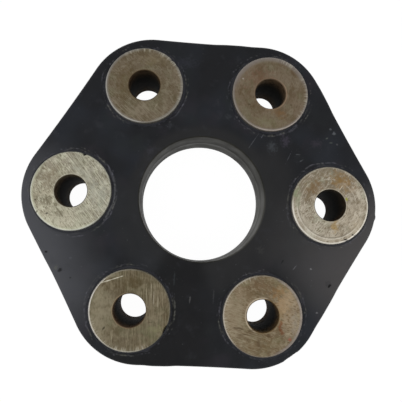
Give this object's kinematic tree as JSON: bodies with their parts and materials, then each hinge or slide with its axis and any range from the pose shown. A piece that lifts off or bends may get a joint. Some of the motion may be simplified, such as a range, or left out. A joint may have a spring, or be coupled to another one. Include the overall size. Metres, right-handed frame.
{
  "type": "flexible disc coupling",
  "caption": "Six-sided flexible rubber disc coupling with a round centre opening and steel bolt bushes set in its rounded corners.",
  "frame": {"origin": "on the disc's axis, in the plane of the lower bush faces", "axes": "+Z along the disc's axis, out of the upper bush faces; +X towards bush_1"},
  "size_m": [0.1668, 0.153, 0.0273],
  "materials": {
    "rubber": "moulded black rubber, satin, lightly scuffed",
    "bush_steel": "ground steel, stained brown, light rust",
    "cord": "wound polyester cord in bonding rubber"
  },
  "bodies": {
    "root": {"rubber_body": "rubber", "bush_1": "bush_steel", "bush_2": "bush_steel", "bush_3": "bush_steel", "bush_4": "bush_steel", "bush_5": "bush_steel", "bush_6": "bush_steel", "middle_cord_loop_1": "cord", "middle_cord_loop_2": "cord", "middle_cord_loop_3": "cord", "lower_cord_loop_1": "cord", "lower_cord_loop_2": "cord", "lower_cord_loop_3": "cord", "upper_cord_loop_1": "cord", "upper_cord_loop_2": "cord", "upper_cord_loop_3": "cord"}
  },
  "joints": []
}
